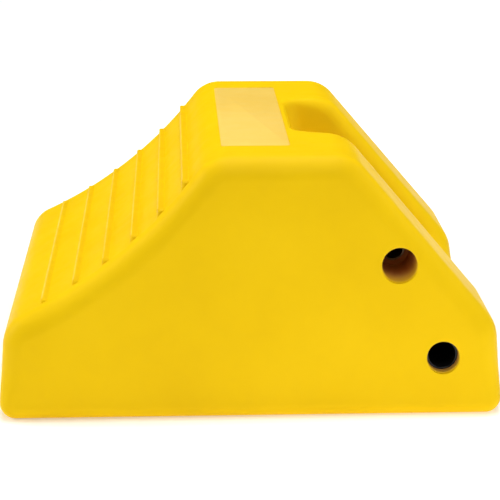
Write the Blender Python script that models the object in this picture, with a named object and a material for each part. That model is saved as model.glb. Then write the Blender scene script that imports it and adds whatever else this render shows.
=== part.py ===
"""A large one-piece urethane wheel chock with two cast-in steel tubes.

Metres, +Z up. The origin is the centre of the base. The toe, which goes under the tyre, points to -X,
and the heel, with the hand recess, to +X. The near side is -Y.
"""

import math

import bmesh
import bpy
from mathutils import Vector

# Block: the side outline, with the sharp corners that the radii below round off.
BASE_LENGTH = 0.5076
BASE_WIDTH = 0.4476
HEIGHT = 0.2630
DRAFT = math.radians(4.3)  # every upright face leans in by this much
TOE_HEIGHT = 0.0960
HEEL_HEIGHT = 0.0909
TOP_FRONT_X = -0.0405
TOP_REAR_X = 0.100
CONTACT_SAG = 0.0188  # how far the contact face is hollowed below its chord

BASE_RADIUS = 0.016
TOE_RADIUS = 0.034
CREST_RADIUS = 0.037
REAR_TOP_RADIUS = 0.039
HEEL_RADIUS = 0.039
SIDE_RADIUS = 0.022  # along the edges of the two side faces
SIDE_RADIUS_AT_BASE = 0.0152
SIDE_RADIUS_FULL_Z = 0.055

# Grip ribs: nearly level treads with an upright front, like low stairs.
RIB_COUNT = 6
RIB_FIRST_X = -0.2105
RIB_PITCH = 0.0365  # along the contact face
RIB_TREAD = 0.0075
RIB_LIP = 0.0009  # how much higher a tread is at its front
RIB_CHAMFER = 0.0012
RIB_END_INSET = 0.026
RIB_ROOT = 0.004  # how deep a rib is rooted in the face

# Hand recess between the two rear rails.
RECESS_FRONT_X = 0.047
RECESS_FRONT_LEAN = math.radians(10)
RECESS_HALF_WIDTH = 0.076
RECESS_FLARE = math.radians(4.5)  # the recess widens towards the heel
RECESS_WALL_DRAFT = math.radians(2)
RECESS_FLOOR_START = (0.060, 0.1275)
RECESS_FLOOR_END = (0.252, 0.0735)
RECESS_INNER_RADIUS = 0.018
RIM_BEVEL = 0.012

# Cast-in tubes: both run across the block, along Y.
HANDLE_AXIS = (0.1454, 0.1570)
HANDLE_TUBE_RADIUS = 0.0127
HANDLE_TUBE_WALL = 0.0020
HANDLE_TUBE_HALF_LENGTH = 0.154
HANDLE_HOLE_RADIUS = 0.0174
HANDLE_COLLAR_Y = 0.120
HANDLE_COLLAR_RADIUS = 0.022
TETHER_AXIS = (0.1909, 0.0624)
TETHER_TUBE_RADIUS = 0.0158
TETHER_TUBE_WALL = 0.0022
TETHER_TUBE_HALF_LENGTH = 0.2107
TETHER_COLLAR_Y = 0.150
TETHER_COLLAR_RADIUS = 0.026
COLLAR_THICKNESS = 0.004
TUBE_EDGE = 0.0005

# Blank label, let into the flat top.
LABEL_SIZE = (0.069, 0.289)
LABEL_CENTRE_X = 0.006
LABEL_THICKNESS = 0.0008

# Shallow grooves across the underside.
GROOVE_XS = (-0.16, -0.08, 0.0, 0.08, 0.16)
GROOVE_WIDTH = 0.008
GROOVE_DEPTH = 0.003
GROOVE_HALF_LENGTH = 0.17

GAP = 0.0003  # between pieces that touch
BEYOND = 0.04  # how far a cutter reaches past the block

# How finely round shapes are divided.
ROUND_SEGMENTS = 24
ARC_STEP = math.radians(12)
HOLLOW_STEP = math.radians(2.5)
SIDE_EDGE_STEPS = 5
RECESS_BEVEL_SEGMENTS = 3
SHARP_ANGLE = math.radians(30)
COPLANAR_ANGLE = math.radians(0.5)

URETHANE = ("urethane_yellow", (0.93, 0.62, 0.01), 0.38, 0.0)
LABEL = ("label_pale_yellow", (0.93, 0.70, 0.12), 0.45, 0.0)
STEEL = ("steel", (0.62, 0.62, 0.60), 0.35, 1.0)
BLACK_STEEL = ("black_steel", (0.012, 0.012, 0.013), 0.22, 0.0)


def make_material(name, colour, roughness, metallic):
    found = bpy.data.materials.get(name)
    if found:
        return found
    made = bpy.data.materials.new(name)
    made.use_nodes = True
    shader = made.node_tree.nodes["Principled BSDF"]
    shader.inputs["Base Color"].default_value = (*colour, 1.0)
    shader.inputs["Roughness"].default_value = roughness
    shader.inputs["Metallic"].default_value = metallic
    return made


def add_object(name, points, faces, finish=None):
    """A mesh object with its faces turned outwards. Without a finish it is a hidden cutter or guide."""
    mesh = bpy.data.meshes.new(name)
    mesh.from_pydata([tuple(point) for point in points], [], faces)
    shape = bmesh.new()
    shape.from_mesh(mesh)
    bmesh.ops.recalc_face_normals(shape, faces=shape.faces)
    shape.to_mesh(mesh)
    shape.free()
    obj = bpy.data.objects.new(name, mesh)
    bpy.context.scene.collection.objects.link(obj)
    if finish:
        mesh.materials.append(make_material(*finish))
        mesh.shade_smooth()
        mesh.set_sharp_from_angle(angle=SHARP_ANGLE)
    else:
        obj.hide_render = True
        obj.display_type = "WIRE"
    return obj


def combine(target, other, operation):
    modifier = target.modifiers.new(other.name, "BOOLEAN")
    modifier.operation = operation
    modifier.solver = "EXACT"
    modifier.object = other


# ---------------------------------------------------------------- side outline


def side_half_width(z):
    return BASE_WIDTH / 2 - z * math.tan(DRAFT)


def inward_normal(start, end):
    """The outline runs anticlockwise, so its material is on the left."""
    along = (end - start).normalized()
    return Vector((-along.y, along.x))


def contact_circle():
    """Centre and radius of the hollow contact face, which is above it and to its left."""
    crest = Vector((TOP_FRONT_X, HEIGHT))
    toe = Vector((-BASE_LENGTH / 2 + TOE_HEIGHT * math.tan(DRAFT), TOE_HEIGHT))
    chord = (toe - crest).length
    radius = (chord * chord / 4 + CONTACT_SAG**2) / (2 * CONTACT_SAG)
    into = inward_normal(crest, toe)
    return (crest + toe) / 2 - into * (radius - CONTACT_SAG), radius


def contact_height(x):
    centre, radius = contact_circle()
    return centre.y - math.sqrt(radius**2 - (x - centre.x) ** 2)


def round_between_lines(corner, normal_a, normal_b, radius):
    """Centre of the arc that touches both lines through the corner."""
    a, b = normal_a.dot(corner) + radius, normal_b.dot(corner) + radius
    area = normal_a.x * normal_b.y - normal_a.y * normal_b.x
    return Vector(((a * normal_b.y - b * normal_a.y) / area, (b * normal_a.x - a * normal_b.x) / area))


def round_to_contact(corner, normal, radius):
    """Centre of the arc that touches the line through the corner and the hollow contact circle."""
    centre, contact_radius = contact_circle()
    foot = centre + normal * (normal.dot(corner - centre) + radius)
    along = Vector((normal.y, -normal.x))
    reach = math.sqrt((contact_radius + radius) ** 2 - (foot - centre).length_squared)
    return min((foot + along * reach, foot - along * reach), key=lambda point: (point - corner).length)


def arc(centre, start, end, widest_step):
    """(point, unit vector from the centre) pairs along the shorter arc from start to end."""
    first, last = start - centre, end - centre
    turn = math.atan2(first.x * last.y - first.y * last.x, first.dot(last))
    angle = math.atan2(first.y, first.x)
    segments = math.ceil(abs(turn) / widest_step)
    for step in range(segments + 1):
        at = angle + turn * step / segments
        away = Vector((math.cos(at), math.sin(at)))
        yield centre + away * first.length, away


def outline():
    """(point, inward normal) pairs round the block's side, anticlockwise from the base's heel end."""
    lean = math.tan(DRAFT)
    base_toe, base_heel = Vector((-BASE_LENGTH / 2, 0)), Vector((BASE_LENGTH / 2, 0))
    heel = Vector((BASE_LENGTH / 2 - HEEL_HEIGHT * lean, HEEL_HEIGHT))
    rear_top, crest = Vector((TOP_REAR_X, HEIGHT)), Vector((TOP_FRONT_X, HEIGHT))
    toe = Vector((-BASE_LENGTH / 2 + TOE_HEIGHT * lean, TOE_HEIGHT))
    up = Vector((0, 1))
    into_heel = inward_normal(base_heel, heel)
    into_slope = inward_normal(heel, rear_top)
    into_toe = inward_normal(toe, base_toe)
    circle, circle_radius = contact_circle()

    def convex(centre, into_a, into_b, radius):
        start, end = centre - into_a * radius, centre - into_b * radius
        return [(point, -away) for point, away in arc(centre, start, end, ARC_STEP)]

    def corner(place, into_a, into_b, radius):
        return convex(round_between_lines(place, into_a, into_b, radius), into_a, into_b, radius)

    crest_centre = round_to_contact(crest, -up, CREST_RADIUS)
    toe_centre = round_to_contact(toe, into_toe, TOE_RADIUS)
    into_crest = (crest_centre - circle).normalized()
    into_toe_end = (toe_centre - circle).normalized()
    hollow_start = circle + into_crest * circle_radius
    hollow_end = circle + into_toe_end * circle_radius

    points = corner(base_heel, up, into_heel, BASE_RADIUS)
    points += corner(heel, into_heel, into_slope, HEEL_RADIUS)
    points += corner(rear_top, into_slope, -up, REAR_TOP_RADIUS)
    points += convex(crest_centre, -up, into_crest, CREST_RADIUS)
    points += list(arc(circle, hollow_start, hollow_end, HOLLOW_STEP))[1:-1]
    points += convex(toe_centre, into_toe_end, into_toe, TOE_RADIUS)
    points += corner(base_toe, into_toe, up, BASE_RADIUS)
    return points


# ---------------------------------------------------------------- block


def side_radius(z):
    """The side faces' edge radius, which shrinks towards the base."""
    share = min(max((z - BASE_RADIUS) / (SIDE_RADIUS_FULL_Z - BASE_RADIUS), 0), 1)
    share = share * share * (3 - 2 * share)
    return SIDE_RADIUS_AT_BASE + share * (SIDE_RADIUS - SIDE_RADIUS_AT_BASE)


def add_block():
    """The block before anything is cut: copies of the outline, drawn in and out to round the side edges."""
    section = outline()
    rings = []
    for side in (-1, 1):
        turns = [math.pi / 2 * step / SIDE_EDGE_STEPS for step in range(SIDE_EDGE_STEPS + 1)]
        for turn in turns if side > 0 else reversed(turns):
            ring = []
            for point, into in section:
                radius = side_radius(point.y)
                inset = point + into * radius * (1 - math.cos(turn))
                half_width = side_half_width(inset.y) - radius * (1 - math.sin(turn))
                ring.append((inset.x, side * half_width, inset.y))
            rings.append(ring)
    count = len(section)
    faces = [list(range(count)), [len(rings) * count - 1 - i for i in range(count)]]
    for ring in range(len(rings) - 1):
        for i in range(count):
            j = (i + 1) % count
            here, beyond = ring * count, (ring + 1) * count
            faces.append([here + i, here + j, beyond + j, beyond + i])
    points = [point for ring in rings for point in ring]
    return add_object("chock_body", points, faces, URETHANE)


def prism(section, half_length, end_slope=0.0):
    """Points and faces of an XZ section drawn out along Y, with its upper points shortened by end_slope."""
    count = len(section)
    points = []
    for side in (-1, 1):
        for index, (x, z) in enumerate(section):
            shorten = end_slope if index >= count - 2 else 0.0
            points.append((x, side * (half_length - shorten), z))
    faces = [list(range(count)), list(range(2 * count - 1, count - 1, -1))]
    faces += [[i, (i + 1) % count, count + (i + 1) % count, count + i] for i in range(count)]
    return points, faces


def add_ribs():
    """All the grip ribs, as one guide that is joined to the block."""
    centre, radius = contact_circle()
    start = math.asin((RIB_FIRST_X - centre.x) / radius)
    points, faces = [], []
    for index in range(RIB_COUNT):
        x = centre.x + radius * math.sin(start + index * RIB_PITCH / radius)
        foot, back = contact_height(x), contact_height(x + RIB_TREAD)
        section = [
            (x, foot - RIB_ROOT),
            (x + RIB_TREAD + RIB_ROOT, back - RIB_ROOT),
            (x + RIB_TREAD, back),
            (x + RIB_CHAMFER, back + RIB_LIP),
            (x, back + RIB_LIP - RIB_CHAMFER),
        ]
        more, sides = prism(section, side_half_width(back) - RIB_END_INSET, RIB_TREAD / 2)
        faces += [[len(points) + i for i in side] for side in sides]
        points += more
    return add_object("rib_guide", points, faces)


# ---------------------------------------------------------------- recess


def recess_floor(x):
    (x0, z0), (x1, z1) = RECESS_FLOOR_START, RECESS_FLOOR_END
    return z0 + (x - x0) * (z1 - z0) / (x1 - x0)


def recess_wall(x, z):
    spread = (x - RECESS_FRONT_X) * math.tan(RECESS_FLARE)
    return RECESS_HALF_WIDTH + spread + (z - HEIGHT) * math.tan(RECESS_WALL_DRAFT)


def recess_front(z):
    return RECESS_FRONT_X + (HEIGHT - z) * math.tan(RECESS_FRONT_LEAN)


def add_hull(name, points, bevel=0.0):
    """A hidden cutter: the smallest convex solid round the points, with its edges rounded."""
    shape = bmesh.new()
    for point in points:
        shape.verts.new(point)
    bmesh.ops.convex_hull(shape, input=shape.verts)
    bmesh.ops.dissolve_limit(shape, angle_limit=COPLANAR_ANGLE, verts=shape.verts, edges=shape.edges)
    if bevel:
        edges = list(shape.edges)
        bmesh.ops.bevel(
            shape, geom=edges, offset=bevel, segments=RECESS_BEVEL_SEGMENTS, profile=0.5, affect="EDGES"
        )
    shape.verts.index_update()
    found = [vert.co.copy() for vert in shape.verts]
    faces = [[vert.index for vert in face.verts] for face in shape.faces]
    shape.free()
    return add_object(name, found, faces)


def add_recess():
    """The recess itself: a leaning front wall, two flared walls and a floor that falls to the heel."""
    rear = BASE_LENGTH / 2 + BEYOND
    top = HEIGHT + BEYOND
    front_low = recess_front(RECESS_FLOOR_START[1])
    floor = [(front_low, recess_floor(front_low)), (rear, recess_floor(rear))]
    corners = [*floor, (rear, top), (recess_front(top), top)]
    points = [(x, side * recess_wall(x, z), z) for x, z in corners for side in (-1, 1)]
    return add_hull("recess_cutter", points, RECESS_INNER_RADIUS)


def add_rim_cutter(name, start, end):
    """A tray with walls at 45 degrees, sunk by the rim's bevel below the line from start to end."""
    up = inward_normal(start, end)
    if up.y < 0:
        up = -up
    points = []
    for at in (start, end):
        for rise in (-RIM_BEVEL, BEYOND):
            place = at + up * rise
            half_width = recess_wall(at.x, at.y) + RIM_BEVEL + rise
            points += [(place.x, side * half_width, place.y) for side in (-1, 1)]
    return add_hull(name, points)


def cut_recess(block):
    combine(block, add_recess(), "DIFFERENCE")
    lean = math.tan(DRAFT)
    rear_top = Vector((TOP_REAR_X, HEIGHT))
    heel = Vector((BASE_LENGTH / 2 - HEEL_HEIGHT * lean, HEEL_HEIGHT))
    slope = (heel - rear_top).normalized()
    front = Vector((RECESS_FRONT_X, HEIGHT))
    top_rim = add_rim_cutter("top_rim_cutter", front, rear_top + Vector((RIM_BEVEL, 0)))
    slope_rim = add_rim_cutter("slope_rim_cutter", rear_top - slope * RIM_BEVEL, heel + slope * BEYOND)
    combine(block, top_rim, "DIFFERENCE")
    combine(block, slope_rim, "DIFFERENCE")


# ---------------------------------------------------------------- round pieces, all along Y


def turned(name, profile, axis, finish=None, closed=False):
    """A solid turned about Y from (y, radius) pairs, placed with its axis at (x, z)."""
    points, faces = [], []
    for y, radius in profile:
        for step in range(ROUND_SEGMENTS):
            angle = 2 * math.pi * step / ROUND_SEGMENTS
            points.append((radius * math.cos(angle), y, radius * math.sin(angle)))
    rings = len(profile)
    for ring in range(rings if closed else rings - 1):
        after = (ring + 1) % rings
        for step in range(ROUND_SEGMENTS):
            beside = (step + 1) % ROUND_SEGMENTS
            corners = ((ring, step), (ring, beside), (after, beside), (after, step))
            faces.append([i * ROUND_SEGMENTS + j for i, j in corners])
    if not closed:
        faces.append(list(range(ROUND_SEGMENTS)))
        faces.append([(rings - 1) * ROUND_SEGMENTS + step for step in reversed(range(ROUND_SEGMENTS))])
    made = add_object(name, points, faces, finish)
    made.location = (axis[0], 0, axis[1])
    return made


def add_tube(name, axis, radius, wall, half_length, finish):
    inner = radius - wall
    shoulder = half_length - TUBE_EDGE
    half = [
        (shoulder, radius),
        (half_length, radius - TUBE_EDGE),
        (half_length, inner + TUBE_EDGE),
        (shoulder, inner),
    ]
    profile = [(-y, r) for y, r in reversed(half)] + half
    return turned(name, profile, axis, finish, closed=True)


def add_collar(name, axis, y, radius, tube_radius, finish):
    near, far = y - COLLAR_THICKNESS / 2, y + COLLAR_THICKNESS / 2
    inner = tube_radius + GAP
    profile = [(near, radius), (far, radius), (far, inner), (near, inner)]
    return turned(name, profile, axis, finish, closed=True)


def add_channel(name, axis, mouth, tube, collar, collar_y):
    """The cutter for one tube: its mouths at both sides, its own channel and the collars' pockets."""
    reach = BASE_WIDTH / 2 + BEYOND
    pocket = COLLAR_THICKNESS / 2 + GAP
    half = [
        (collar_y - pocket, tube + GAP),
        (collar_y - pocket, collar + GAP),
        (collar_y + pocket, collar + GAP),
        (collar_y + pocket, tube + GAP),
    ]
    if mouth:
        half += [(mouth[0], tube + GAP), (mouth[0], mouth[1]), (reach, mouth[1])]
    else:
        half += [(reach, tube + GAP)]
    return turned(name, [(-y, radius) for y, radius in reversed(half)] + half, axis)


def add_tube_set(block, name, axis, radius, wall, half_length, collar, collar_y, mouth, finish):
    """One cast-in tube with its two anchor collars, and the channel through the block that holds them."""
    channel = add_channel(f"{name}_channel", axis, mouth, radius, collar, collar_y)
    combine(block, channel, "DIFFERENCE")
    add_tube(f"{name}_tube", axis, radius, wall, half_length, finish)
    add_collar(f"{name}_collar_near", axis, -collar_y, collar, radius, finish)
    add_collar(f"{name}_collar_far", axis, collar_y, collar, radius, finish)


def add_tubes(block):
    add_tube_set(
        block,
        name="handle",
        axis=HANDLE_AXIS,
        radius=HANDLE_TUBE_RADIUS,
        wall=HANDLE_TUBE_WALL,
        half_length=HANDLE_TUBE_HALF_LENGTH,
        collar=HANDLE_COLLAR_RADIUS,
        collar_y=HANDLE_COLLAR_Y,
        mouth=(HANDLE_TUBE_HALF_LENGTH, HANDLE_HOLE_RADIUS),
        finish=STEEL,
    )
    add_tube_set(
        block,
        name="tether",
        axis=TETHER_AXIS,
        radius=TETHER_TUBE_RADIUS,
        wall=TETHER_TUBE_WALL,
        half_length=TETHER_TUBE_HALF_LENGTH,
        collar=TETHER_COLLAR_RADIUS,
        collar_y=TETHER_COLLAR_Y,
        mouth=None,
        finish=BLACK_STEEL,
    )


# ---------------------------------------------------------------- label and underside


def box(low, high):
    points = [(x, y, z) for x in (low[0], high[0]) for y in (low[1], high[1]) for z in (low[2], high[2])]
    faces = [[0, 1, 3, 2], [4, 6, 7, 5], [0, 4, 5, 1], [2, 3, 7, 6], [0, 2, 6, 4], [1, 5, 7, 3]]
    return points, faces


def add_label(block):
    """The label lies flush in a pocket of its own outline."""
    half_x, half_y = LABEL_SIZE[0] / 2, LABEL_SIZE[1] / 2
    top = HEIGHT - GAP / 3
    low = (LABEL_CENTRE_X - half_x, -half_y, top - LABEL_THICKNESS)
    high = (LABEL_CENTRE_X + half_x, half_y, top)
    add_object("blank_label", *box(low, high), LABEL)
    room = Vector((GAP, GAP, GAP))
    pocket_high = Vector((high[0], high[1], HEIGHT + BEYOND)) + room
    combine(block, add_object("label_pocket", *box(Vector(low) - room, pocket_high)), "DIFFERENCE")


def cut_grooves(block):
    points, faces = [], []
    for x in GROOVE_XS:
        low = (x - GROOVE_WIDTH / 2, -GROOVE_HALF_LENGTH, -BEYOND)
        high = (x + GROOVE_WIDTH / 2, GROOVE_HALF_LENGTH, GROOVE_DEPTH)
        more, sides = box(low, high)
        faces += [[len(points) + i for i in side] for side in sides]
        points += more
    combine(block, add_object("groove_cutter", points, faces), "DIFFERENCE")


def main():
    for obj in list(bpy.data.objects):
        bpy.data.objects.remove(obj)
    block = add_block()
    combine(block, add_ribs(), "UNION")
    cut_recess(block)
    add_tubes(block)
    add_label(block)
    cut_grooves(block)
    assembly = bpy.data.objects.new("wheel_chock", None)
    bpy.context.scene.collection.objects.link(assembly)
    for obj in bpy.context.scene.objects:
        if obj is not assembly:
            obj.parent = assembly


main()
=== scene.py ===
"""The wheel chock's looks: a moulded urethane block, its blank label, and the two cast-in steel tubes."""

import math

import bmesh
import bpy
import numpy as np
from mathutils import Matrix, Vector


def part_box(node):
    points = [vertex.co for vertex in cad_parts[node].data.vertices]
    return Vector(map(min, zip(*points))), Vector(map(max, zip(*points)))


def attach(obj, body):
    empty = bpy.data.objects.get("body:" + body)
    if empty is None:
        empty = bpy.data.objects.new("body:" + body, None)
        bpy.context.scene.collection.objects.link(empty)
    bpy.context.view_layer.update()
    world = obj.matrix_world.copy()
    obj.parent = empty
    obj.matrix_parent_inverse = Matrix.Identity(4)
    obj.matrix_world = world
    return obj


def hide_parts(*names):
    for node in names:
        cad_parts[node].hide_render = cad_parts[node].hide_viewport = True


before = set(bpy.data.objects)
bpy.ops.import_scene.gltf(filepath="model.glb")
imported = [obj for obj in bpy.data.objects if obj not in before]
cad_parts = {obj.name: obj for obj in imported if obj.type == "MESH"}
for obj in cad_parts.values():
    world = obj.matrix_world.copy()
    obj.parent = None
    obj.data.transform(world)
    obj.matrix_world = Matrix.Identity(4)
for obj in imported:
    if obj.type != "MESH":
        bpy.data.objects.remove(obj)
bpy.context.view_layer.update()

# The block's side outline in metres: its sharp corners and the radii on them.
BASE_LENGTH = 0.5076
BASE_WIDTH = 0.4476
HEIGHT = 0.2630
DRAFT = math.radians(4.3)
TOE_HEIGHT = 0.0960
HEEL_HEIGHT = 0.0909
TOP_FRONT_X = -0.0405
TOP_REAR_X = 0.100
CONTACT_SAG = 0.0188
CONTACT_STEP = 0.01  # radians between points along the hollow
BASE_RADIUS = 0.016
TOE_RADIUS = 0.034
CREST_RADIUS = 0.037
REAR_TOP_RADIUS = 0.039
HEEL_RADIUS = 0.039
SIDE_RADIUS = 0.022
SIDE_RADIUS_AT_BASE = 0.0152
SIDE_RADIUS_FULL_Z = 0.055

RIB_COUNT = 6
RIB_FIRST_X = -0.2105
RIB_PITCH = 0.0365
RIB_TREAD = 0.0075
RIB_LIP = 0.0009
RIB_END_INSET = 0.026
RIB_END_ROUND = 0.0080
RIB_CREST_RADIUS = 0.0013
RIB_CREST_SETBACK = 0.05  # share of the tread that the front face leans back
RIB_ARC_STEP = 0.25
RIB_END_TURNS = np.radians(np.linspace(4, 90, 9))
RIB_ROOT = 0.003

RECESS_FRONT_X = 0.047
RECESS_FRONT_LEAN = math.radians(10)
RECESS_HALF_WIDTH = 0.076
RECESS_FLARE = math.radians(4.5)
RECESS_WALL_DRAFT = math.radians(2)
RECESS_FLOOR_START = (0.060, 0.1275)
RECESS_FLOOR_END = (0.252, 0.0735)
RECESS_CORNER_RADIUS = 0.018
RECESS_FLOOR_RADIUS = 0.022
RIM_RADIUS_AT_FRONT = 0.005
RIM_RADIUS = 0.016
RIM_RADIUS_AT_HEEL = 0.024

GROOVE_XS = (-0.16, -0.08, 0.0, 0.08, 0.16)
GROOVE_WIDTH = 0.008
GROOVE_DEPTH = 0.003
GROOVE_HALF_LENGTH = 0.17
GROOVE_CORNER_SHARE = 0.499  # of its width, so the ends are round
GROOVE_EDGE_SHARE = 0.6  # of its depth

HANDLE_HOLE_RADIUS = 0.0174
HOLE_LIP = 0.0008
TUBE_WALLS = {"handle_tube": 0.0020, "tether_tube": 0.0022}
TUBE_EDGE = 0.0006
TETHER_HOLE_RADIUS = 0.0161
HOLE_LIP_TURN = (-72, 0)
HOLE_RUN_OUT = 0.01  # how far a hole's cutter stands proud of the side face
ROUND_SEGMENTS = 72
SKIN = 0.00005  # clearance between a tube and the urethane cast round it

LABEL_CORNER = 0.004
LABEL_EDGE = 0.0003
LABEL_POCKET_EDGE = 0.001
LABEL_GAP = 0.0002

MESH_STEP = 0.0030
WELD = 0.000002
CUTTER_OVERSHOOT = 0.01
SMOOTH_ANGLE_BLOCK = 38
SMOOTH_ANGLE_TURNED = 40
SMOOTH_ANGLE_SLAB = 30

# Colours, as linear red, green and blue.
URETHANE_TONES = (
    (0.30, (0.880, 0.562, 0.005)),
    (0.50, (0.908, 0.586, 0.005)),
    (0.72, (0.930, 0.604, 0.006)),
)
# Painted shade: a darker orange low on each rib's tread, where it meets the contact face.
TREAD_PAINTED_SHADE = (0.70, 0.38, 0.004)
# Painted highlight: a pale line along each rib's crest.
CREST_PAINTED_HIGHLIGHT = (0.97, 0.72, 0.12)
# Painted shade: the urethane turns darker and browner deep inside the tube mouths.
BORE_PAINTED_SHADE = (0.56, 0.27, 0.110)
LABEL_TONES = ((0.35, (0.92, 0.61, 0.10)), (0.65, (0.95, 0.66, 0.14)))
STEEL_TONES = ((0.3, (0.26, 0.19, 0.11)), (0.55, (0.44, 0.36, 0.24)), (0.75, (0.56, 0.49, 0.36)))
BLACK_TONES = ((0.35, (0.006, 0.006, 0.007)), (0.7, (0.014, 0.013, 0.013)))
URETHANE_SPECULAR = 0.04
BLACK_PAINT_SPECULAR = 0.25

# Where the urethane's painted highlight and painted shades lie, in metres.
CREST_HIGHLIGHT_BAND = (-0.0018, -0.0009)
TREAD_SHADE_BAND = (0.0001, 0.0006)
HANDLE_SHADE_REACH = 0.036
TETHER_SHADE_REACH = 0.014
SHADE_LEAD = 0.35  # share of the reach that the fade starts outside the side face
SHADE_MARGIN = 0.0006

CAMERA_PLACE = (-0.07584, -1.79109, 0.65765)
CAMERA_YAW = math.radians(2.66)
CAMERA_PITCH = math.radians(17.0)
CAMERA_ROLL = math.radians(0.23)
CAMERA_LENS = 121.67

# The floor's glow: each pair is where a zone starts and ends, or how strong it is at those places.
FLOOR_REACH = 9.0
FLOOR_TOP = -0.0004
FLOOR_FRONT = (-0.29, -0.17)
FLOOR_SIDEWAYS = (-0.35, 0.35)
FLOOR_GLOW_FRONT = (0.42, 0.95)
FLOOR_NEAR_FRONT = (-0.8, -0.3)
FLOOR_FAR_SHARE = 0.4
FLOOR_FAR_FRONT = (-0.7, -0.5)
FLOOR_RIGHT = (0.05, 0.35)
FLOOR_BESIDE = (0.3, 0.45)
FLOOR_BESIDE_FRONT = (-0.3, -0.2)
FLOOR_GLOW_FAR_RIGHT = 0.34
FLOOR_GLOW_RIGHT = 0.35
FLOOR_BEHIND = (0.15, 1.3)
FLOOR_GLOW_BEHIND = (0.15, 0.8)
FLOOR_HORIZON = (2.6, 3.4)

ROOM_LIGHT_TOWARDS = (0.7198, -0.6040, 0.3420)
ROOM_LIGHT_STRENGTH = 0.7
ROOM_LIGHT_FOCUS = 6.0
AREA_LIGHTS = (  # name, place, target, size, power
    ("overhead", (0, 0.3, 2.0), (0, 0, 0.1), 1.6, 30.0),
    ("front_box", (0, -1.2, 1.8), (0, 0, 0.1), 1.0, 10.5),
    ("left_box", (-1.8, 0.25, 0.8), (-0.54, 0, 0.1), 1.2, 17.0),
    ("right_box", (1.7, 0.2, 1.3), (0.3, 0, 0.1), 1.0, 5.5),
)


# ------------------------------------------------------------------ side outline, in the XZ plane


def inward_normal(start, end):
    """The outline runs anticlockwise, so its material is on the left."""
    along = (end - start).normalized()
    return Vector((-along.y, along.x))


def contact_circle():
    """Centre and radius of the hollow contact face."""
    crest = Vector((TOP_FRONT_X, HEIGHT))
    toe = Vector((-BASE_LENGTH / 2 + TOE_HEIGHT * math.tan(DRAFT), TOE_HEIGHT))
    chord = (toe - crest).length
    radius = (chord * chord / 4 + CONTACT_SAG**2) / (2 * CONTACT_SAG)
    return (crest + toe) / 2 - inward_normal(crest, toe) * (radius - CONTACT_SAG), radius


def contact_height(x):
    centre, radius = contact_circle()
    return centre.y - math.sqrt(radius**2 - (x - centre.x) ** 2)


def round_between_lines(corner, normal_a, normal_b, radius):
    """Centre of the arc that touches both lines through the corner."""
    a, b = normal_a.dot(corner) + radius, normal_b.dot(corner) + radius
    area = normal_a.x * normal_b.y - normal_a.y * normal_b.x
    return Vector(((a * normal_b.y - b * normal_a.y) / area, (b * normal_a.x - a * normal_b.x) / area))


def round_to_contact(corner, normal, radius):
    """Centre of the arc that touches the line through the corner and the hollow contact circle."""
    centre, contact_radius = contact_circle()
    foot = centre + normal * (normal.dot(corner - centre) + radius)
    along = Vector((normal.y, -normal.x))
    reach = math.sqrt((contact_radius + radius) ** 2 - (foot - centre).length_squared)
    return min((foot + along * reach, foot - along * reach), key=lambda point: (point - corner).length)


def arc(centre, start, end, step=math.radians(1.5)):
    """Points along the shorter arc from start to end."""
    first, last = start - centre, end - centre
    turn = math.atan2(first.x * last.y - first.y * last.x, first.dot(last))
    angle = math.atan2(first.y, first.x)
    count = max(2, math.ceil(abs(turn) / step))
    for i in range(count + 1):
        at = angle + turn * i / count
        yield centre + Vector((math.cos(at), math.sin(at))) * first.length


def outline():
    """The block's side, anticlockwise from the base's heel end."""
    lean = math.tan(DRAFT)
    base_toe, base_heel = Vector((-BASE_LENGTH / 2, 0)), Vector((BASE_LENGTH / 2, 0))
    heel = Vector((BASE_LENGTH / 2 - HEEL_HEIGHT * lean, HEEL_HEIGHT))
    rear_top, crest = Vector((TOP_REAR_X, HEIGHT)), Vector((TOP_FRONT_X, HEIGHT))
    toe = Vector((-BASE_LENGTH / 2 + TOE_HEIGHT * lean, TOE_HEIGHT))
    up = Vector((0, 1))
    into_heel = inward_normal(base_heel, heel)
    into_slope = inward_normal(heel, rear_top)
    into_toe = inward_normal(toe, base_toe)
    circle, circle_radius = contact_circle()
    crest_centre = round_to_contact(crest, -up, CREST_RADIUS)
    toe_centre = round_to_contact(toe, into_toe, TOE_RADIUS)
    into_crest = (crest_centre - circle).normalized()
    into_toe_end = (toe_centre - circle).normalized()

    def convex(centre, into_a, into_b, radius):
        return list(arc(centre, centre - into_a * radius, centre - into_b * radius))

    def corner_round(corner, into_a, into_b, radius):
        return convex(round_between_lines(corner, into_a, into_b, radius), into_a, into_b, radius)

    contact_start = circle + into_crest * circle_radius
    contact_end = circle + into_toe_end * circle_radius
    points = corner_round(base_heel, up, into_heel, BASE_RADIUS)
    points += corner_round(heel, into_heel, into_slope, HEEL_RADIUS)
    points += corner_round(rear_top, into_slope, -up, REAR_TOP_RADIUS)
    points += convex(crest_centre, -up, into_crest, CREST_RADIUS)
    points += list(arc(circle, contact_start, contact_end, CONTACT_STEP))[1:-1]
    points += convex(toe_centre, into_toe_end, into_toe, TOE_RADIUS)
    points += corner_round(base_toe, into_toe, up, BASE_RADIUS)
    return points


# ------------------------------------------------------------------ the block as a distance field


def smooth_share(value, start, end):
    share = np.clip((value - start) / (end - start), 0, 1)
    return share * share * (3 - 2 * share)


def round_max(a, b, radius):
    """The intersection of two solids with a round edge of that radius where they meet."""
    outside = np.hypot(np.maximum(a + radius, 0), np.maximum(b + radius, 0))
    return np.minimum(np.maximum(a, b), -radius) + outside


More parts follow.
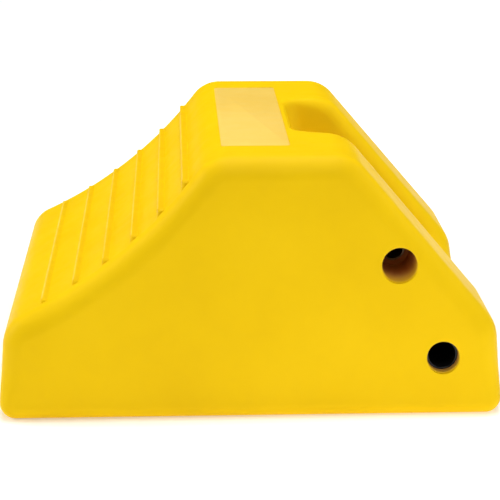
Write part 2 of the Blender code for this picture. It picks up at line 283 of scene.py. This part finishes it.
class SideTable:
    """Distance to the side outline, negative inside, looked up from a fine grid."""

    def __init__(self, points, step=0.001, margin=0.012):
        self.step = step
        self.low = np.min(points, axis=0) - margin
        size = np.ceil((np.max(points, axis=0) + margin - self.low) / step).astype(int) + 1
        x, z = np.meshgrid(*(self.low[i] + step * np.arange(size[i]) for i in (0, 1)), indexing="ij")
        nearest, inside = np.full(x.shape, 1.0), np.zeros(x.shape, bool)
        for (ax, az), (bx, bz) in zip(points, points[1:] + points[:1]):
            dx, dz = bx - ax, bz - az
            along = np.clip(((x - ax) * dx + (z - az) * dz) / (dx * dx + dz * dz), 0, 1)
            nearest = np.minimum(nearest, np.hypot(x - ax - along * dx, z - az - along * dz))
            if dz:
                inside ^= ((az > z) != (bz > z)) & (x < ax + (z - az) * dx / dz)
        self.table = np.where(inside, -nearest, nearest)

    def __call__(self, x, z):
        sides = zip((x, z), self.low, self.table.shape)
        at = [np.clip((value - low) / self.step, 0, count - 1.001) for value, low, count in sides]
        i, j = (value.astype(int) for value in at)
        u, v = at[0] - i, at[1] - j
        t = self.table
        near = t[i, j] * (1 - u) + t[i + 1, j] * u
        far = t[i, j + 1] * (1 - u) + t[i + 1, j + 1] * u
        return near * (1 - v) + far * v


def recess_field(x, y, z):
    """Negative inside the hand recess: a leaning front wall, two flared walls and a falling floor."""
    front = (RECESS_FRONT_X + (HEIGHT - z) * math.tan(RECESS_FRONT_LEAN) - x) * math.cos(RECESS_FRONT_LEAN)
    spread = (x - RECESS_FRONT_X) * math.tan(RECESS_FLARE) + (z - HEIGHT) * math.tan(RECESS_WALL_DRAFT)
    wall = (np.abs(y) - RECESS_HALF_WIDTH - spread) * math.cos(RECESS_FLARE)
    (x0, z0), (x1, z1) = RECESS_FLOOR_START, RECESS_FLOOR_END
    fall = (z1 - z0) / (x1 - x0)
    floor = (z0 + (x - x0) * fall - z) / math.hypot(1, fall)
    return round_max(round_max(front, wall, RECESS_CORNER_RADIUS), floor, RECESS_FLOOR_RADIUS)


def block_field(side_distance):
    """The whole block as a function of (x, y, z): negative inside, zero on its surface."""

    def field(x, y, z):
        side = (np.abs(y) - BASE_WIDTH / 2 + z * math.tan(DRAFT)) * math.cos(DRAFT)
        grown = smooth_share(z, BASE_RADIUS, SIDE_RADIUS_FULL_Z)
        edge = SIDE_RADIUS_AT_BASE + grown * (SIDE_RADIUS - SIDE_RADIUS_AT_BASE)
        outer = round_max(side_distance(x, z), side, edge)
        opened = smooth_share(x, RECESS_FRONT_X, TOP_REAR_X)
        rim = RIM_RADIUS_AT_FRONT + opened * (RIM_RADIUS - RIM_RADIUS_AT_FRONT)
        rim = rim + smooth_share(x, TOP_REAR_X, BASE_LENGTH / 2) * (RIM_RADIUS_AT_HEEL - RIM_RADIUS)
        return round_max(outer, -recess_field(x, y, z), rim)

    return field


def surface_net(axes, values):
    """Points and outward quads of the zero surface: one point in each grid cell that the surface crosses."""
    shape = np.array(values.shape) - 1
    total, count = np.zeros((shape.prod(), 3)), np.zeros(shape.prod())
    quads = []
    for axis in range(3):
        low = np.take(values, range(values.shape[axis] - 1), axis)
        high = np.take(values, range(1, values.shape[axis]), axis)
        at = np.argwhere((low < 0) != (high < 0))
        a, b = low[tuple(at.T)], high[tuple(at.T)]
        point = np.stack([axes[d][at[:, d]] for d in range(3)], axis=1)
        point[:, axis] += a / (a - b) * (axes[axis][at[:, axis] + 1] - point[:, axis])
        ring = []
        for back in ((0, 0), (1, 0), (1, 1), (0, 1)):
            cell = at.copy()
            cell[:, (axis + 1) % 3] -= back[0]
            cell[:, (axis + 2) % 3] -= back[1]
            ring.append(np.ravel_multi_index(cell.T, shape))
        ring = np.stack(ring, axis=1)
        for cells in ring.T:
            count += np.bincount(cells, minlength=len(count))
            for d in range(3):
                total[:, d] += np.bincount(cells, weights=point[:, d], minlength=len(count))
        ring[a > 0] = ring[a > 0][:, ::-1]
        quads.append(ring)
    used = count > 0
    number = np.cumsum(used) - 1
    return total[used] / count[used][:, None], number[np.concatenate(quads)]


def settle(points, field, rounds=3, reach=0.0004):
    """Moves each point straight onto the surface."""
    for _ in range(rounds):
        value = field(*points.T)
        slope = np.empty_like(points)
        for axis, offset in enumerate(np.eye(3) * reach):
            slope[:, axis] = (field(*(points + offset).T) - field(*(points - offset).T)) / (2 * reach)
        points = points - slope * (value / (slope**2).sum(axis=1))[:, None]
    return points


def relax(points, quads):
    """Each point drifts to the middle of its neighbours."""
    total, count = np.zeros_like(points), np.zeros(len(points))
    for i in range(4):
        here, there = quads[:, i], quads[:, (i + 1) % 4]
        for a, b in ((here, there), (there, here)):
            count += np.bincount(a, minlength=len(points))
            for d in range(3):
                total[:, d] += np.bincount(a, weights=points[b, d], minlength=len(points))
    return total / count[:, None]


def grid_line(low, high, fine, coarse, fine_spans):
    """Grid places from low to high, fine inside the spans and coarse elsewhere."""
    places = [low]
    while places[-1] < high:
        at = places[-1]
        close = any(start - coarse < at < end for start, end in fine_spans)
        places.append(at + (fine if close else coarse))
    return np.array(places)


# ------------------------------------------------------------------ mesh helpers


def add_object(name, points, faces, smooth_angle=None):
    mesh = bpy.data.meshes.new(name)
    mesh.from_pydata([tuple(point) for point in points], [], [list(face) for face in faces])
    obj = bpy.data.objects.new(name, mesh)
    bpy.context.scene.collection.objects.link(obj)
    if smooth_angle is not None:
        mesh.shade_smooth()
        mesh.set_sharp_from_angle(angle=math.radians(smooth_angle))
    return obj


def face_outwards(obj):
    shape = bmesh.new()
    shape.from_mesh(obj.data)
    bmesh.ops.recalc_face_normals(shape, faces=shape.faces)
    shape.to_mesh(obj.data)
    shape.free()
    return obj


def joined(name, objects):
    """One object that holds the closed shells of several, which don't touch."""
    points, faces = [], []
    for obj in objects:
        start = len(points)
        points += [vert.co[:] for vert in obj.data.vertices]
        faces += [[start + i for i in face.vertices] for face in obj.data.polygons]
        bpy.data.objects.remove(obj)
    return add_object(name, points, faces)


def boolean(target, other, operation):
    """Applies an exact Boolean and removes the other object."""
    modifier = target.modifiers.new("cut", "BOOLEAN")
    modifier.operation = operation
    modifier.solver = "EXACT"
    modifier.object = other
    bpy.context.view_layer.update()
    result = bpy.data.meshes.new_from_object(target.evaluated_get(bpy.context.evaluated_depsgraph_get()))
    target.modifiers.clear()
    shape = bmesh.new()
    shape.from_mesh(result)
    bmesh.ops.remove_doubles(shape, verts=shape.verts, dist=WELD)
    bmesh.ops.holes_fill(shape, edges=[edge for edge in shape.edges if edge.is_boundary])
    shape.to_mesh(result)
    shape.free()
    target.data = result
    bpy.data.objects.remove(other)


def turned(name, profile, axis_x, axis_z, closed=False, smooth_angle=None):
    """A solid turned about a line along Y, from (y, radius) pairs."""
    angles = np.linspace(0, 2 * math.pi, ROUND_SEGMENTS, endpoint=False)
    points = [(axis_x + r * math.cos(a), y, axis_z + r * math.sin(a)) for y, r in profile for a in angles]
    rings = len(profile)
    faces = []
    for ring in range(rings if closed else rings - 1):
        after = (ring + 1) % rings
        for step in range(ROUND_SEGMENTS):
            beside = (step + 1) % ROUND_SEGMENTS
            corners = ((ring, step), (ring, beside), (after, beside), (after, step))
            faces.append([i * ROUND_SEGMENTS + j for i, j in corners])
    if not closed:
        faces.append(list(range(ROUND_SEGMENTS)))
        faces.append([(rings - 1) * ROUND_SEGMENTS + step for step in range(ROUND_SEGMENTS)])
    return face_outwards(add_object(name, points, faces, smooth_angle))


def ring_faces(rings, count):
    """Quads between neighbouring rings of count points each."""
    faces = []
    for ring in range(rings - 1):
        for i in range(count):
            j = (i + 1) % count
            corners = ((ring, i), (ring, j), (ring + 1, j), (ring + 1, i))
            faces.append([level * count + point for level, point in corners])
    return faces


def quarter(centre_y, centre_r, radius, start, end, steps=5):
    """(y, radius) points of a rounded edge, its angle in degrees from +Y towards a larger radius."""
    for angle in np.radians(np.linspace(start, end, steps)):
        yield centre_y + radius * math.cos(angle), centre_r + radius * math.sin(angle)


# ------------------------------------------------------------------ the block's pieces


def make_ribs():
    """Grip ribs: level treads with an upright front, rounded at the crest and fading out at both ends."""
    centre, radius = contact_circle()
    start = math.asin((RIB_FIRST_X - centre.x) / radius)
    ribs = []
    for index in range(RIB_COUNT):
        x = centre.x + radius * math.sin(start + index * RIB_PITCH / radius)
        foot = Vector((x, contact_height(x)))
        back = Vector((x + RIB_TREAD, contact_height(x + RIB_TREAD)))
        chord = (back - foot).normalized()
        away = Vector((-chord.y, chord.x))
        crest = Vector((foot.x + RIB_TREAD * RIB_CREST_SETBACK, back.y + RIB_LIP))
        into_front = inward_normal(crest, foot)
        into_tread = inward_normal(back, crest)
        middle = round_between_lines(crest, into_tread, into_front, RIB_CREST_RADIUS)
        edge_start = middle - into_tread * RIB_CREST_RADIUS
        edge_end = middle - into_front * RIB_CREST_RADIUS
        edge = arc(middle, edge_start, edge_end, RIB_ARC_STEP)
        # Along the face and above it, so that the ends can sink into the face.
        corners = [back, *edge, foot]
        section = [((point - foot).dot(chord), (point - foot).dot(away)) for point in corners]
        span = (back - foot).length
        section = [(span + RIB_ROOT / 2, -RIB_ROOT), *section, (-RIB_ROOT / 2, -RIB_ROOT)]
        half_length = BASE_WIDTH / 2 - back.y * math.tan(DRAFT) - RIB_END_INSET
        ends = [
            (half_length - RIB_END_ROUND * (1 - math.cos(turn)), math.sin(turn))
            for turn in RIB_END_TURNS
        ]
        stations = [(-y, rise) for y, rise in ends] + [(y, rise) for y, rise in reversed(ends)]
        points = []
        for y, rise in stations:
            for along, above in section:
                place = foot + chord * along + away * (above * rise if above > 0 else above)
                points.append((place.x, y, place.y))
        count = len(section)
        faces = [list(range(count)), list(range((len(stations) - 1) * count, len(stations) * count))]
        faces += ring_faces(len(stations), count)
        ribs.append(face_outwards(add_object("rib", points, faces)))
    return joined("ribs", ribs)


def node_axis(node):
    """Where a turned CAD node lies: its axis (x, z), its radius and its lowest and highest y."""
    low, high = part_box(node)
    return (low.x + high.x) / 2, (low.z + high.z) / 2, (high.x - low.x) / 2, low.y, high.y


def make_channel(name, tube, collars, mouth_radius):
    """What a tube's insert leaves open: two mouths with soft lips, its channel and the collar pockets."""
    x, z, radius, _, end = node_axis(tube)
    _, _, collar_radius, collar_low, collar_high = node_axis(collars)
    face = BASE_WIDTH / 2 - z * math.tan(DRAFT)
    half = [
        (collar_low - SKIN, radius + SKIN),
        (collar_low - SKIN, collar_radius + SKIN),
        (collar_high + SKIN, collar_radius + SKIN),
        (collar_high + SKIN, radius + SKIN),
        (end + SKIN, radius + SKIN),
        (end + 2 * SKIN, mouth_radius),
        (face - HOLE_LIP, mouth_radius),
    ]
    half += list(quarter(face - HOLE_LIP, mouth_radius + HOLE_LIP, HOLE_LIP, *HOLE_LIP_TURN))
    half.append((face + HOLE_RUN_OUT, mouth_radius + HOLE_LIP * 4))
    channel = turned(name, [(-y, r) for y, r in reversed(half)] + half, x, z)
    for vert in channel.data.vertices:
        if abs(vert.co.y) > end + 3 * SKIN:
            vert.co.y -= math.copysign((vert.co.z - z) * math.tan(DRAFT), vert.co.y)
    return channel


def rounded_slab(name, low, high, corner, top_edge, grow=0.0):
    """A flat slab with round corners and a small round along its top edge."""
    points = []
    levels = [(low.z, 0.0), (high.z - top_edge, 0.0)]
    for a in np.radians((30, 60, 90)):
        levels.append((high.z - top_edge * (1 - math.sin(a)), top_edge * (1 - math.cos(a))))
    for z, inset in levels:
        for sx, sy, first in ((1, 1, 0), (-1, 1, 90), (-1, -1, 180), (1, -1, 270)):
            cx = (high.x if sx > 0 else low.x) + sx * (grow - corner)
            cy = (high.y if sy > 0 else low.y) + sy * (grow - corner)
            for a in np.radians(np.linspace(first, first + 90, 7)):
                across = corner - inset
                points.append((cx + across * math.cos(a), cy + across * math.sin(a), z))
    count = len(points) // len(levels)
    faces = ring_faces(len(levels), count)
    faces.append(list(range(count)))
    faces.append(list(range((len(levels) - 1) * count, len(levels) * count)))
    return face_outwards(add_object(name, points, faces, SMOOTH_ANGLE_SLAB))


def make_grooves():
    """Cutters for the underside's grooves, with round bottoms and round ends."""
    cutters = []
    for x in GROOVE_XS:
        low = Vector((x - GROOVE_WIDTH / 2, -GROOVE_HALF_LENGTH, -CUTTER_OVERSHOOT))
        high = Vector((x + GROOVE_WIDTH / 2, GROOVE_HALF_LENGTH, GROOVE_DEPTH))
        corner, edge = GROOVE_WIDTH * GROOVE_CORNER_SHARE, GROOVE_DEPTH * GROOVE_EDGE_SHARE
        cutters.append(rounded_slab("groove", low, high, corner, edge))
    return cutters


def make_block():
    field = block_field(SideTable([tuple(point) for point in outline()]))
    coarse = 2 * MESH_STEP
    lowest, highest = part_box("chock_body")
    margin = 2 * coarse
    wall_span = (RECESS_HALF_WIDTH - RIM_RADIUS, RECESS_HALF_WIDTH + 2.5 * RIM_RADIUS)
    side_span = (BASE_WIDTH / 2 - HEIGHT * math.tan(DRAFT) - SIDE_RADIUS, BASE_WIDTH / 2)
    half_y = grid_line(coarse / 4, highest.y + margin, MESH_STEP, coarse, (wall_span, side_span))
    axes = [
        np.arange(lowest.x - margin, highest.x + margin, MESH_STEP),
        np.concatenate([-half_y[::-1], half_y]),
        np.arange(lowest.z - margin, highest.z + margin, MESH_STEP),
    ]
    points, quads = surface_net(axes, field(*np.meshgrid(*axes, indexing="ij")))
    for _ in range(2):
        points = relax(settle(points, field, rounds=1), quads)
    block = add_object("chock_block", np.clip(settle(points, field), lowest, highest), quads)
    for tube, mouth_radius in (("tether", TETHER_HOLE_RADIUS), ("handle", HANDLE_HOLE_RADIUS)):
        channel = make_channel(f"{tube}_channel", f"{tube}_tube", f"{tube}_collar_far", mouth_radius)
        boolean(block, channel, "DIFFERENCE")
    boolean(block, make_ribs(), "UNION")
    label_low, label_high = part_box("blank_label")
    pocket_high = Vector((label_high.x, label_high.y, HEIGHT + CUTTER_OVERSHOOT))
    pocket = rounded_slab("pocket", label_low, pocket_high, LABEL_CORNER, LABEL_POCKET_EDGE, LABEL_GAP)
    boolean(block, pocket, "DIFFERENCE")
    boolean(block, joined("grooves", make_grooves()), "DIFFERENCE")
    block.data.shade_smooth()
    block.data.set_sharp_from_angle(angle=math.radians(SMOOTH_ANGLE_BLOCK))
    return block


def make_tube(node, name):
    x, z, radius, _, high = node_axis(node)
    inner, edge = radius - TUBE_WALLS[node], TUBE_EDGE
    half = list(quarter(high - edge, inner + edge, edge, -90, 0))
    half += list(quarter(high - edge, radius - edge, edge, 0, 90))
    profile = half + [(-y, r) for y, r in reversed(half)]
    return turned(name, profile, x, z, closed=True, smooth_angle=SMOOTH_ANGLE_TURNED)


def make_collar(node, name, tube):
    x, z, radius, low, high = node_axis(node)
    inner, edge = node_axis(tube)[2] + SKIN, TUBE_EDGE
    profile = list(quarter(high - edge, radius - edge, edge, 0, 90))
    profile += list(quarter(low + edge, radius - edge, edge, 90, 180))
    profile += [(low, inner), (high, inner)]
    return turned(name, profile, x, z, closed=True, smooth_angle=SMOOTH_ANGLE_TURNED)


# ------------------------------------------------------------------ materials


class Nodes:
    """A few short calls for building one material's node tree."""

    def __init__(self, name):
        self.material = bpy.data.materials.new(name)
        self.material.use_nodes = True
        self.tree = self.material.node_tree
        self.shader = self.tree.nodes["Principled BSDF"]
        self.place = self.add("ShaderNodeTexCoord").outputs["Object"]

    def add(self, kind, **settings):
        node = self.tree.nodes.new(kind)
        for key, value in settings.items():
            if key in node.inputs:
                node.inputs[key].default_value = value
            else:
                setattr(node, key, value)
        return node

    def link(self, start, end):
        self.tree.links.new(start, end)

    def noise(self, scale, detail=3.0, roughness=0.5, stretch=None):
        node = self.add("ShaderNodeTexNoise", Scale=scale, Detail=detail, Roughness=roughness)
        place = self.place
        if stretch:
            mapping = self.add("ShaderNodeMapping", Scale=stretch)
            self.link(place, mapping.inputs["Vector"])
            place = mapping.outputs["Vector"]
        self.link(place, node.inputs["Vector"])
        return node.outputs["Fac"]

    def spread(self, value, low, high, from_low=0.3, from_high=0.7):
        node = self.add("ShaderNodeMapRange", **{
            "From Min": from_low, "From Max": from_high, "To Min": low, "To Max": high,
        })
        self.link(value, node.inputs["Value"])
        return node.outputs["Result"]

    def colours(self, value, *stops):
        node = self.add("ShaderNodeValToRGB")
        ramp = node.color_ramp
        while len(ramp.elements) < len(stops):
            ramp.elements.new(0.5)
        for element, (position, colour) in zip(ramp.elements, stops):
            element.position, element.color = position, (*colour, 1.0)
        self.link(value, node.inputs["Fac"])
        return node.outputs["Color"]

    def calculate(self, operation, *values):
        node = self.add("ShaderNodeMath", operation=operation)
        for socket, value in zip(node.inputs, values):
            if isinstance(value, float):
                socket.default_value = value
            else:
                self.link(value, socket)
        return node.outputs["Value"]

    def subtract(self, value, amount):
        return self.calculate("SUBTRACT", value, amount)

    def combine(self, a, b):
        """The length of the vector (a, b)."""
        squares = self.calculate("ADD", self.calculate("MULTIPLY", a, a), self.calculate("MULTIPLY", b, b))
        return self.calculate("SQRT", squares)

    def between(self, value, start, end, low=0.0, high=1.0):
        """low at start and high at end, smooth between them."""
        node = self.add("ShaderNodeMapRange", interpolation_type="SMOOTHSTEP", **{
            "From Min": start, "From Max": end, "To Min": low, "To Max": high,
        })
        self.link(value, node.inputs["Value"])
        return node.outputs["Result"]

    def mix(self, share, colour, other):
        node = self.add("ShaderNodeMix", data_type="RGBA")
        self.link(share, node.inputs[0])
        self.link(colour, node.inputs[6])
        node.inputs[7].default_value = (*other, 1.0)
        return node.outputs[2]

    def bump(self, heights):
        """Stacks bumps, each (height socket, distance in metres, strength)."""
        normal = None
        for height, distance, strength in heights:
            node = self.add("ShaderNodeBump", Distance=distance, Strength=strength)
            self.link(height, node.inputs["Height"])
            if normal:
                self.link(normal, node.inputs["Normal"])
            normal = node.outputs["Normal"]
        self.link(normal, self.shader.inputs["Normal"])

    def set(self, **values):
        for key, value in values.items():
            self.shader.inputs[key.replace("_", " ")].default_value = value


def bore_shade(made, x, y, z, tube, radius, reach):
    """Painted shade in a tube's mouth, browner and darker deeper in: 1 that far inside it, falling towards
    the side face.
    """
    axis_x, axis_z = node_axis(tube)[:2]
    across = made.combine(made.subtract(x, axis_x), made.subtract(z, axis_z))
    inside = made.calculate("LESS_THAN", across, radius + SHADE_MARGIN)
    face = BASE_WIDTH / 2 - axis_z * math.tan(DRAFT)
    start, end = face + SHADE_LEAD * reach, face - reach
    depth = made.between(made.calculate("ABSOLUTE", y, 0.0), start, end)
    return made.calculate("MULTIPLY", inside, depth)


def rib_marks(made, x, z):
    """Two masks: the crest of each rib, where a pale painted highlight goes, and its tread, where painted
    shade goes.
    """
    centre, radius = contact_circle()
    aside = made.subtract(x, centre.x)
    above = made.calculate("SUBTRACT", radius, made.combine(aside, made.subtract(z, centre.y)))
    rib_height = made.calculate("MULTIPLY_ADD", aside, RIB_TREAD / radius, RIB_LIP)
    crest = made.between(made.calculate("SUBTRACT", above, rib_height), *CREST_HIGHLIGHT_BAND)
    return crest, made.between(above, *TREAD_SHADE_BAND)


def urethane_material():
    made = Nodes("urethane_skin")
    split = made.add("ShaderNodeSeparateXYZ")
    made.link(made.place, split.inputs["Vector"])
    x, y, z = (split.outputs[axis] for axis in "XYZ")
    tone = made.colours(made.noise(9.0, 2.0, 0.45), *URETHANE_TONES)
    crest, tread = rib_marks(made, x, z)
    # Painted shade low on the rib treads, in patches.
    tread_shade = made.calculate("MULTIPLY", tread, made.spread(made.noise(60.0, 3.0), 0.2, 0.4))
    tone = made.mix(tread_shade, tone, TREAD_PAINTED_SHADE)
    # Painted highlight along the rib crests, in patches.
    crest_highlight = made.calculate("MULTIPLY", crest, made.spread(made.noise(70.0, 3.0), 0.3, 0.75))
    tone = made.mix(crest_highlight, tone, CREST_PAINTED_HIGHLIGHT)
    # Painted shade deep inside the tube mouths.
    painted_shade = made.calculate(
        "MAXIMUM",
        bore_shade(made, x, y, z, "handle_tube", HANDLE_HOLE_RADIUS, HANDLE_SHADE_REACH),
        bore_shade(made, x, y, z, "tether_tube", TETHER_HOLE_RADIUS, TETHER_SHADE_REACH),
    )
    tone = made.mix(painted_shade, tone, BORE_PAINTED_SHADE)
    made.link(tone, made.shader.inputs["Base Color"])
    made.link(made.spread(made.noise(45.0, 4.0, 0.6), 0.38, 0.48), made.shader.inputs["Roughness"])
    made.bump([
        (made.noise(14.0, 2.0), 0.0006, 0.25),
        (made.noise(420.0, 3.0), 0.00008, 0.35),
    ])
    made.set(Metallic=0.0, IOR=1.45, Specular_IOR_Level=URETHANE_SPECULAR)
    return made.material


def label_material():
    made = Nodes("blank_label_film")
    tone = made.colours(made.noise(7.0, 2.0), *LABEL_TONES)
    made.link(tone, made.shader.inputs["Base Color"])
    made.link(made.spread(made.noise(60.0, 3.0), 0.42, 0.52), made.shader.inputs["Roughness"])
    made.bump([(made.noise(300.0, 2.0), 0.00004, 0.3)])
    made.set(Metallic=0.0, IOR=1.45)
    return made.material


def bare_steel_material():
    """Drawn tube: fine lines along it and patches of dull oxide."""
    made = Nodes("drawn_steel")
    patches = made.noise(38.0, 4.0, 0.6)
    tone = made.colours(patches, *STEEL_TONES)
    made.link(tone, made.shader.inputs["Base Color"])
    made.link(made.spread(patches, 0.48, 0.28), made.shader.inputs["Roughness"])
    made.bump([(made.noise(900.0, 2.0, 0.5, (1.0, 0.03, 1.0)), 0.00006, 0.4)])
    made.set(Metallic=1.0)
    return made.material


def black_steel_material():
    """Black gloss paint with a light orange peel, over the same tube."""
    made = Nodes("black_painted_steel")
    tone = made.colours(made.noise(80.0, 3.0), *BLACK_TONES)
    made.link(tone, made.shader.inputs["Base Color"])
    made.link(made.spread(made.noise(120.0, 3.0), 0.14, 0.26), made.shader.inputs["Roughness"])
    made.bump([(made.noise(350.0, 2.0), 0.00012, 0.4)])
    made.set(Metallic=0.0, IOR=1.5, Specular_IOR_Level=BLACK_PAINT_SPECULAR)
    return made.material


def dress(piece, material, node):
    piece.data.materials.clear()
    piece.data.materials.append(material)
    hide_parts(node)
    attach(piece, "root")


# ------------------------------------------------------------------ studio


def add_camera():
    forward = Vector((
        math.sin(CAMERA_YAW) * math.cos(CAMERA_PITCH),
        math.cos(CAMERA_YAW) * math.cos(CAMERA_PITCH),
        -math.sin(CAMERA_PITCH),
    ))
    level = Vector((math.cos(CAMERA_YAW), -math.sin(CAMERA_YAW), 0))
    above = level.cross(forward)
    right = level * math.cos(CAMERA_ROLL) + above * math.sin(CAMERA_ROLL)
    up = above * math.cos(CAMERA_ROLL) - level * math.sin(CAMERA_ROLL)
    data = bpy.data.cameras.new("camera")
    data.lens = CAMERA_LENS
    data.sensor_width = 36.0
    data.clip_end = 60.0
    camera = bpy.data.objects.new("camera", data)
    bpy.context.scene.collection.objects.link(camera)
    camera.matrix_world = Matrix((
        (right.x, up.x, -forward.x, CAMERA_PLACE[0]),
        (right.y, up.y, -forward.y, CAMERA_PLACE[1]),
        (right.z, up.z, -forward.z, CAMERA_PLACE[2]),
        (0, 0, 0, 1),
    ))
    bpy.context.scene.camera = camera


def add_area_light(name, place, target, size, power):
    data = bpy.data.lights.new(name, "AREA")
    data.shape = "DISK"
    data.size = size
    data.energy = power
    light = bpy.data.objects.new(name, data)
    light.location = place
    light.rotation_euler = (Vector(target) - Vector(place)).to_track_quat("-Z", "Y").to_euler()
    bpy.context.scene.collection.objects.link(light)


def floor_material():
    """White paper with a glow that differs by zone: in front, far front right, beside and behind."""
    paper = Nodes("floor_paper")
    paper.set(Base_Color=(0.92, 0.92, 0.92, 1), Roughness=0.9, Specular_IOR_Level=0.1)
    paper.set(Emission_Color=(1, 1, 1, 1))
    place = paper.add("ShaderNodeSeparateXYZ")
    paper.link(paper.place, place.inputs["Vector"])
    x, y = place.outputs["X"], place.outputs["Y"]
    in_front = paper.between(y, *FLOOR_FRONT, 1.0, 0.0)
    nearness = paper.between(y, *FLOOR_NEAR_FRONT, FLOOR_FAR_SHARE, 1.0)
    in_front = paper.calculate("MULTIPLY", in_front, nearness)
    across = paper.between(x, *FLOOR_SIDEWAYS, *FLOOR_GLOW_FRONT)
    front_glow = paper.calculate("MULTIPLY", in_front, across)
    right = paper.between(x, *FLOOR_RIGHT, 0.0, FLOOR_GLOW_FAR_RIGHT)
    far_glow = paper.calculate("MULTIPLY", paper.between(y, *FLOOR_FAR_FRONT, 1.0, 0.0), right)
    beside = paper.between(x, *FLOOR_BESIDE, 0.0, FLOOR_GLOW_RIGHT)
    side_glow = paper.calculate("MULTIPLY", paper.between(y, *FLOOR_BESIDE_FRONT), beside)
    behind = paper.between(y, *FLOOR_BEHIND, *FLOOR_GLOW_BEHIND)
    back_glow = paper.calculate("MULTIPLY", behind, paper.between(y, *FLOOR_HORIZON, 1.0, 0.0))
    glow = paper.calculate("ADD", front_glow, far_glow)
    glow = paper.calculate("ADD", glow, paper.calculate("ADD", side_glow, back_glow))
    paper.link(glow, paper.shader.inputs["Emission Strength"])
    return paper.material


def add_studio():
    corners = [(FLOOR_REACH * x, FLOOR_REACH * y, FLOOR_TOP) for x, y in ((-1, -1), (1, -1), (1, 1), (-1, 1))]
    floor = add_object("floor", corners, [(0, 1, 2, 3)])
    floor.data.materials.append(floor_material())

    # A dark room with one large soft light to the right of the front.
    world = bpy.data.worlds.new("studio")
    bpy.context.scene.world = world
    world.use_nodes = True
    nodes, links = world.node_tree.nodes, world.node_tree.links
    place = nodes.new("ShaderNodeTexCoord")
    facing = nodes.new("ShaderNodeVectorMath")
    facing.operation = "DOT_PRODUCT"
    facing.inputs[1].default_value = ROOM_LIGHT_TOWARDS
    links.new(place.outputs["Generated"], facing.inputs[0])
    lit = nodes.new("ShaderNodeMath")
    lit.operation = "MAXIMUM"
    lit.inputs[1].default_value = 0.0
    links.new(facing.outputs["Value"], lit.inputs[0])
    lobe = nodes.new("ShaderNodeMath")
    lobe.operation = "POWER"
    lobe.inputs[1].default_value = ROOM_LIGHT_FOCUS
    links.new(lit.outputs["Value"], lobe.inputs[0])
    strength = nodes.new("ShaderNodeMath")
    strength.operation = "MULTIPLY"
    strength.inputs[1].default_value = ROOM_LIGHT_STRENGTH
    links.new(lobe.outputs["Value"], strength.inputs[0])
    background = nodes["Background"]
    background.inputs["Color"].default_value = (1, 1, 1, 1)
    links.new(strength.outputs["Value"], background.inputs["Strength"])
    for light in AREA_LIGHTS:
        add_area_light(*light)
    bpy.context.scene.view_settings.view_transform = "Standard"


def main():
    add_camera()
    urethane, steel, black = urethane_material(), bare_steel_material(), black_steel_material()
    dress(make_block(), urethane, "chock_body")
    label_low, label_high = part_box("blank_label")
    label = rounded_slab("label_film", label_low, label_high, LABEL_CORNER, LABEL_EDGE)
    dress(label, label_material(), "blank_label")
    for tube, material, slot in (("handle", steel, "bare_steel"), ("tether", black, "black_steel")):
        node = f"{tube}_tube"
        dress(make_tube(node, f"{tube}_tube_drawn"), material, node)
        for side in ("near", "far"):
            collar = f"{tube}_collar_{side}"
            dress(make_collar(collar, f"{collar}_ring", node), material, collar)
    add_studio()


main()
